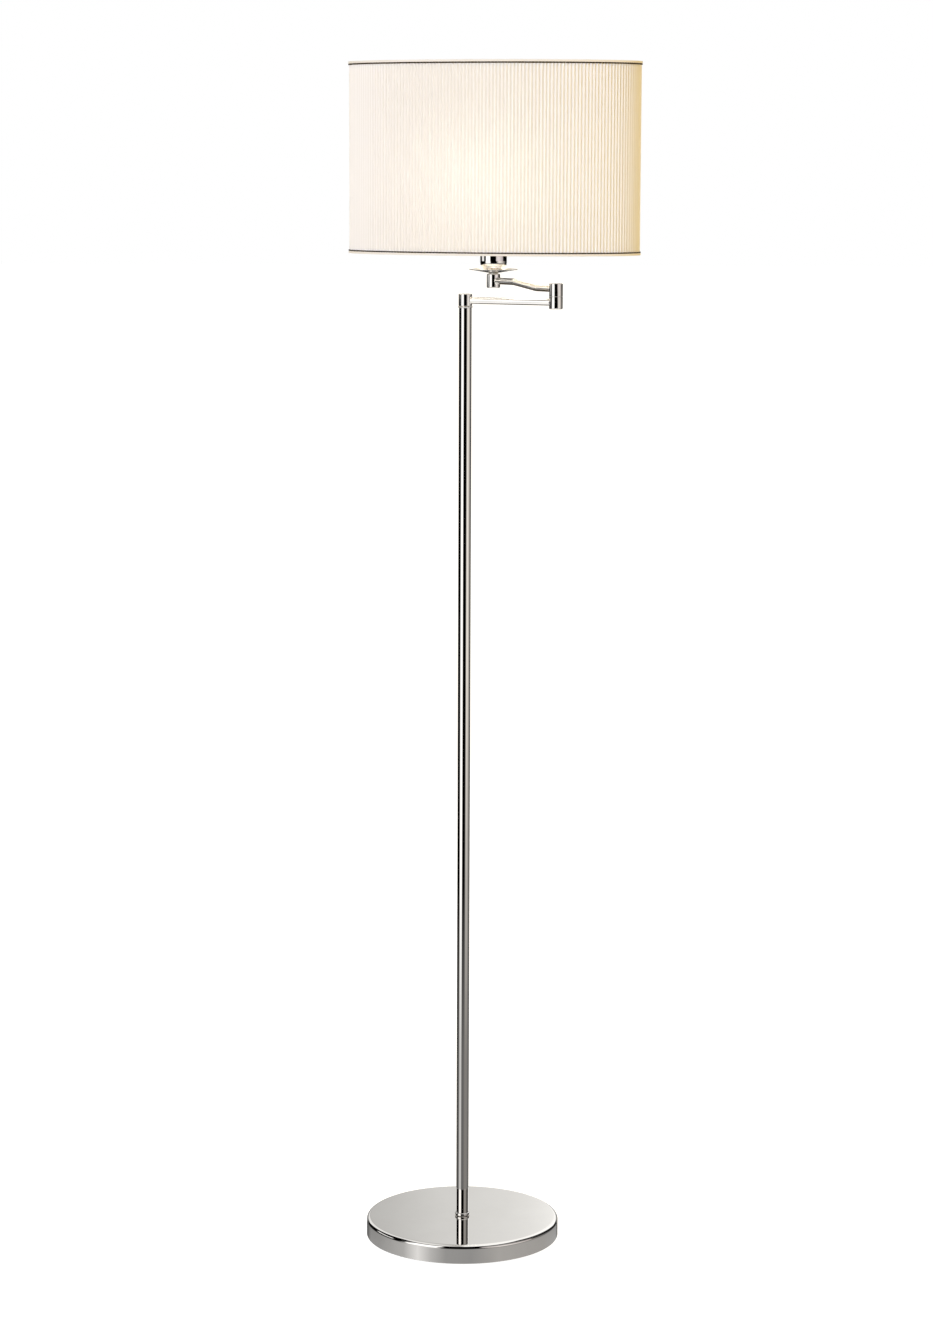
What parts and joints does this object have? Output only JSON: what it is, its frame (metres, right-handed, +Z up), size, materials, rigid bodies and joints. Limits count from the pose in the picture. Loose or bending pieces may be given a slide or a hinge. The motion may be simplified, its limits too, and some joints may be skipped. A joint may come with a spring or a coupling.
{
  "type": "adjustable arm floor lamp",
  "caption": "Floor lamp: round weighted base, slim polished pole, double swivelling arm with an S-bend, and an oval pleated fabric shade over a screw-in bulb.",
  "frame": {"origin": "centre of the base pad's underside, where the lamp rests on the floor, on the pole's axis", "axes": "+Z up along the pole; +X to the right and -Y towards the viewer of the lamp's front"},
  "size_m": [0.3719, 0.2761, 1.5171],
  "materials": {
    "polished_nickel": "polished nickel plate",
    "cast_iron": "rough casting, black primer",
    "black_foam": "closed-cell foam pad",
    "zinc_plated_steel": "zinc plated",
    "black_rubber": "moulded, matt",
    "clear_cable_sleeve": "flexible sleeve",
    "white_nylon": "nylon washer",
    "white_holder_plastic": "moulded thermoset",
    "brass": "plain",
    "white_wire": "white powder coat",
    "shade_liner": "translucent styrene sheet",
    "pleated_cream_fabric": "fine upright pleats, lit from inside",
    "cream_tape": "folded binding tape",
    "dark_piping": "twisted cord",
    "frosted_glass": "frosted"
  },
  "bodies": {
    "stand": {"base_cover": "polished_nickel", "base_weight": "cast_iron", "base_pad": "black_foam", "base_washer": "zinc_plated_steel", "base_nut": "zinc_plated_steel", "foot_nipple": "zinc_plated_steel", "cable_bush": "black_rubber", "foot_collar": "polished_nickel", "pole_foot_insert": "zinc_plated_steel", "pole_tube": "polished_nickel", "pole_top_insert": "zinc_plated_steel", "pole_washer": "polished_nickel", "pole_pivot": "zinc_plated_steel", "pole_cable": "clear_cable_sleeve"},
    "lower_arm": {"pole_knuckle": "polished_nickel", "pole_knuckle_cap": "polished_nickel", "lower_arm_tube": "polished_nickel", "elbow_lower_knuckle": "polished_nickel", "elbow_bottom_cap": "polished_nickel", "elbow_pivot": "zinc_plated_steel", "elbow_nut": "zinc_plated_steel", "elbow_washer": "white_nylon", "lower_arm_cable": "clear_cable_sleeve"},
    "upper_arm": {"elbow_upper_knuckle": "polished_nickel", "elbow_top_cap": "polished_nickel", "upper_arm_tube": "polished_nickel", "head_knuckle": "polished_nickel", "head_bottom_cap": "polished_nickel", "head_washer": "white_nylon", "upper_arm_cable": "clear_cable_sleeve"},
    "head": {"head_nipple": "zinc_plated_steel", "head_lower_nut": "zinc_plated_steel", "head_upper_nut": "zinc_plated_steel", "saucer": "polished_nickel", "socket_cup": "polished_nickel", "lampholder_base": "white_holder_plastic", "lampholder_body": "white_holder_plastic", "lampholder_shell": "brass", "lampholder_contact": "brass", "shade_ring_nut": "white_holder_plastic", "shade_carrier": "white_wire", "shade_top_ring": "white_wire", "shade_liner": "shade_liner", "shade_fabric": "pleated_cream_fabric", "shade_top_binding": "cream_tape", "shade_bottom_binding": "cream_tape", "shade_top_piping": "dark_piping", "shade_bottom_piping": "dark_piping", "bulb_cap": "brass", "bulb_glass": "frosted_glass", "head_cable": "clear_cable_sleeve"}
  },
  "joints": [
    {"name": "pole_swivel", "type": "hinge", "parent": "stand", "child": "lower_arm", "pos_m": [0, 0, 1.219], "axis": [0, 0, 1], "range_deg": [-165, 165]},
    {"name": "elbow_swivel", "type": "hinge", "parent": "lower_arm", "child": "upper_arm", "pos_m": [0.11256, -0.05201, 1.2263], "axis": [0, 0, 1], "range_deg": [-318.2, 11.8]},
    {"name": "head_swivel", "type": "hinge", "parent": "upper_arm", "child": "head", "pos_m": [0.03554, 0.04517, 1.2516], "axis": [0, 0, 1], "range_deg": [-165, 165]}
  ]
}
